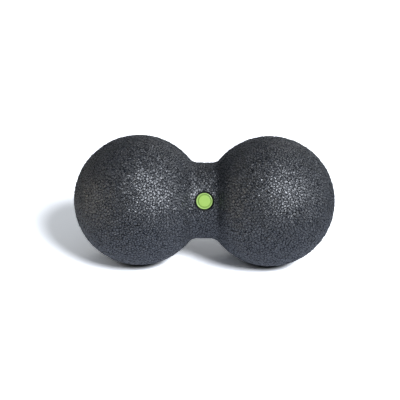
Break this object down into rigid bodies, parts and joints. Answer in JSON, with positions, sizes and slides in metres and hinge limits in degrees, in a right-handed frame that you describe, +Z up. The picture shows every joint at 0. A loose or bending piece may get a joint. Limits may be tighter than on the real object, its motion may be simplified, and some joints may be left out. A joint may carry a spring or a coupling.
{
  "type": "peanut massage ball",
  "caption": "Peanut-shaped massage ball of black bead foam: equal balls joined by a short filleted neck, with a thin round badge set in a shallow recess on the neck.",
  "frame": {"origin": "middle of the neck on the body's axis, midway between the balls, which is the centre of the part's box", "axes": "+X along the body through the centres of both balls; +Z up as the part lies on a floor; the badge faces forward along -Y, turned 23 degrees up"},
  "size_m": [0.24, 0.12, 0.12],
  "materials": {
    "foam": "moulded bead foam, fused beads with a faint sheen",
    "badge": "moulded, satin"
  },
  "bodies": {
    "root": {"foam_body": "foam", "badge": "badge"}
  },
  "joints": []
}
